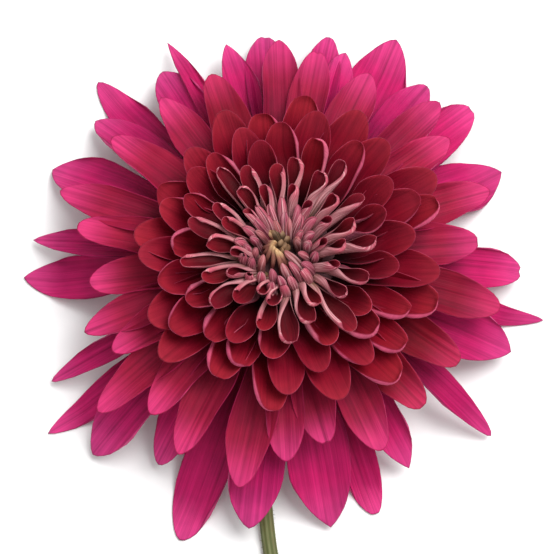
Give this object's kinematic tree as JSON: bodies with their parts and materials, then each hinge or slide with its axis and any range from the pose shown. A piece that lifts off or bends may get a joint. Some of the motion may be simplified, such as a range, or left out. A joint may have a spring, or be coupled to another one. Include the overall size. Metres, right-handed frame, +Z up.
{
  "type": "chrysanthemum",
  "caption": "Cut chrysanthemum bloom lying face up, with pointed outer florets, scooped middle florets, a heart of spoons and quills, a green calyx and a stem laid along the surface.",
  "frame": {"origin": "middle of the footprint, on the surface that the flower lies on", "axes": "+Z up, along the bloom's axis; the stem runs towards -Y"},
  "size_m": [0.1012, 0.1392, 0.0327],
  "materials": {
    "stem_green": "matte green stem with fine lengthwise ribs",
    "calyx_green": "matte green bracts",
    "magenta_petal": "satin petal with lengthwise veins",
    "crimson_petal": "velvety petal with pale rims",
    "mauve_petal": "satin petal, silvery pink outside",
    "straw_bud": "matte bud"
  },
  "bodies": {
    "root": {"stem": "stem_green", "calyx": "calyx_green", "outer_florets": "magenta_petal", "middle_florets": "crimson_petal", "inner_florets": "mauve_petal", "disc_florets": "straw_bud"}
  },
  "joints": []
}
